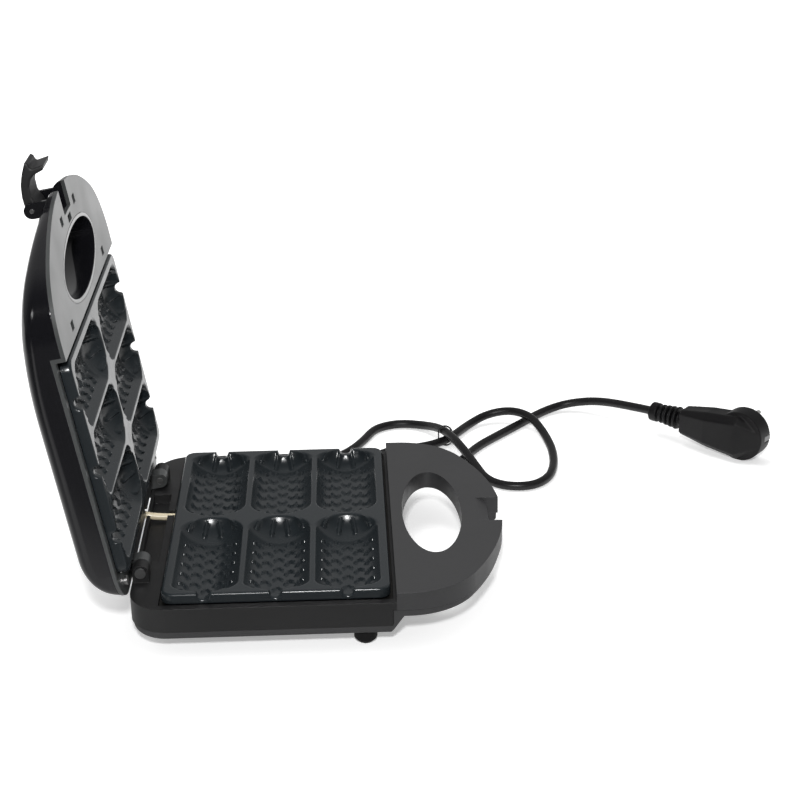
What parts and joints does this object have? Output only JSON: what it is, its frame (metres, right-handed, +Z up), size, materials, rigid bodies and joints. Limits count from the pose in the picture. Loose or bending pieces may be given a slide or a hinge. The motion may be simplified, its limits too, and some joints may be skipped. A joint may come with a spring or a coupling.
{
  "type": "waffle stick maker",
  "caption": "Electric clamshell snack maker with ribbed cavities for waffles on a stick, a D-shaped carry handle, a swinging latch and a mains lead with an angled plug.",
  "frame": {"origin": "centre of the open maker's footprint, on the surface that the feet stand on, measured without the mains lead", "axes": "+Z up, +X from the hinge end to the handle end, +Y along the hinge axis"},
  "size_m": [0.5572, 0.3875, 0.305],
  "materials": {
    "matte_black": "fine matte texture",
    "matte_grey": "satin texture",
    "gloss_black": "polished",
    "coated_plate": "dark grey non-stick coat on die-cast aluminium",
    "element_steel": "heat-dulled tube",
    "bright_sheet": "pressed sheet",
    "dark_plastic": "moulded",
    "steel": "zinc plated",
    "rubber_black": "soft moulded",
    "nickel": "nickel plated brass",
    "glass_sleeve": "woven glass fibre",
    "red_lens": "tinted",
    "green_lens": "tinted",
    "clear_lamp": "clear"
  },
  "bodies": {
    "base": {"lower_housing": "matte_black", "bottom_cover": "matte_black", "lower_plate": "coated_plate", "lower_element": "element_steel", "lower_reflector": "bright_sheet", "lower_plate_screws": "steel", "thermostat": "dark_plastic", "thermal_fuse": "bright_sheet", "terminal_block": "dark_plastic", "hinge_pins": "steel", "feet": "rubber_black", "cover_screws": "steel", "cord_gland": "rubber_black", "power_cord": "rubber_black", "cord_tie": "rubber_black", "plug_body": "rubber_black", "plug_pins": "nickel", "plug_earth_clips": "nickel", "wire_sleeve": "glass_sleeve"},
    "lid": {"upper_shell": "gloss_black", "upper_frame": "matte_grey", "upper_plate": "coated_plate", "upper_element": "element_steel", "upper_reflector": "bright_sheet", "upper_plate_screws": "steel", "frame_screws": "steel", "power_lens": "red_lens", "ready_lens": "green_lens", "lamp_neons": "clear_lamp", "latch_pin": "steel"},
    "latch": {"latch": "gloss_black"}
  },
  "joints": [
    {"name": "lid_hinge", "type": "hinge", "parent": "base", "child": "lid", "pos_m": [-0.0905, 0, 0.04225], "axis": [0, 1, 0], "range_deg": [0, 99.7], "deforming": ["wire_sleeve"]},
    {"name": "latch_pivot", "type": "hinge", "parent": "lid", "child": "latch", "pos_m": [-0.15007, 0, 0.27352], "axis": [0, 1, 0], "range_deg": [0, 64]}
  ]
}
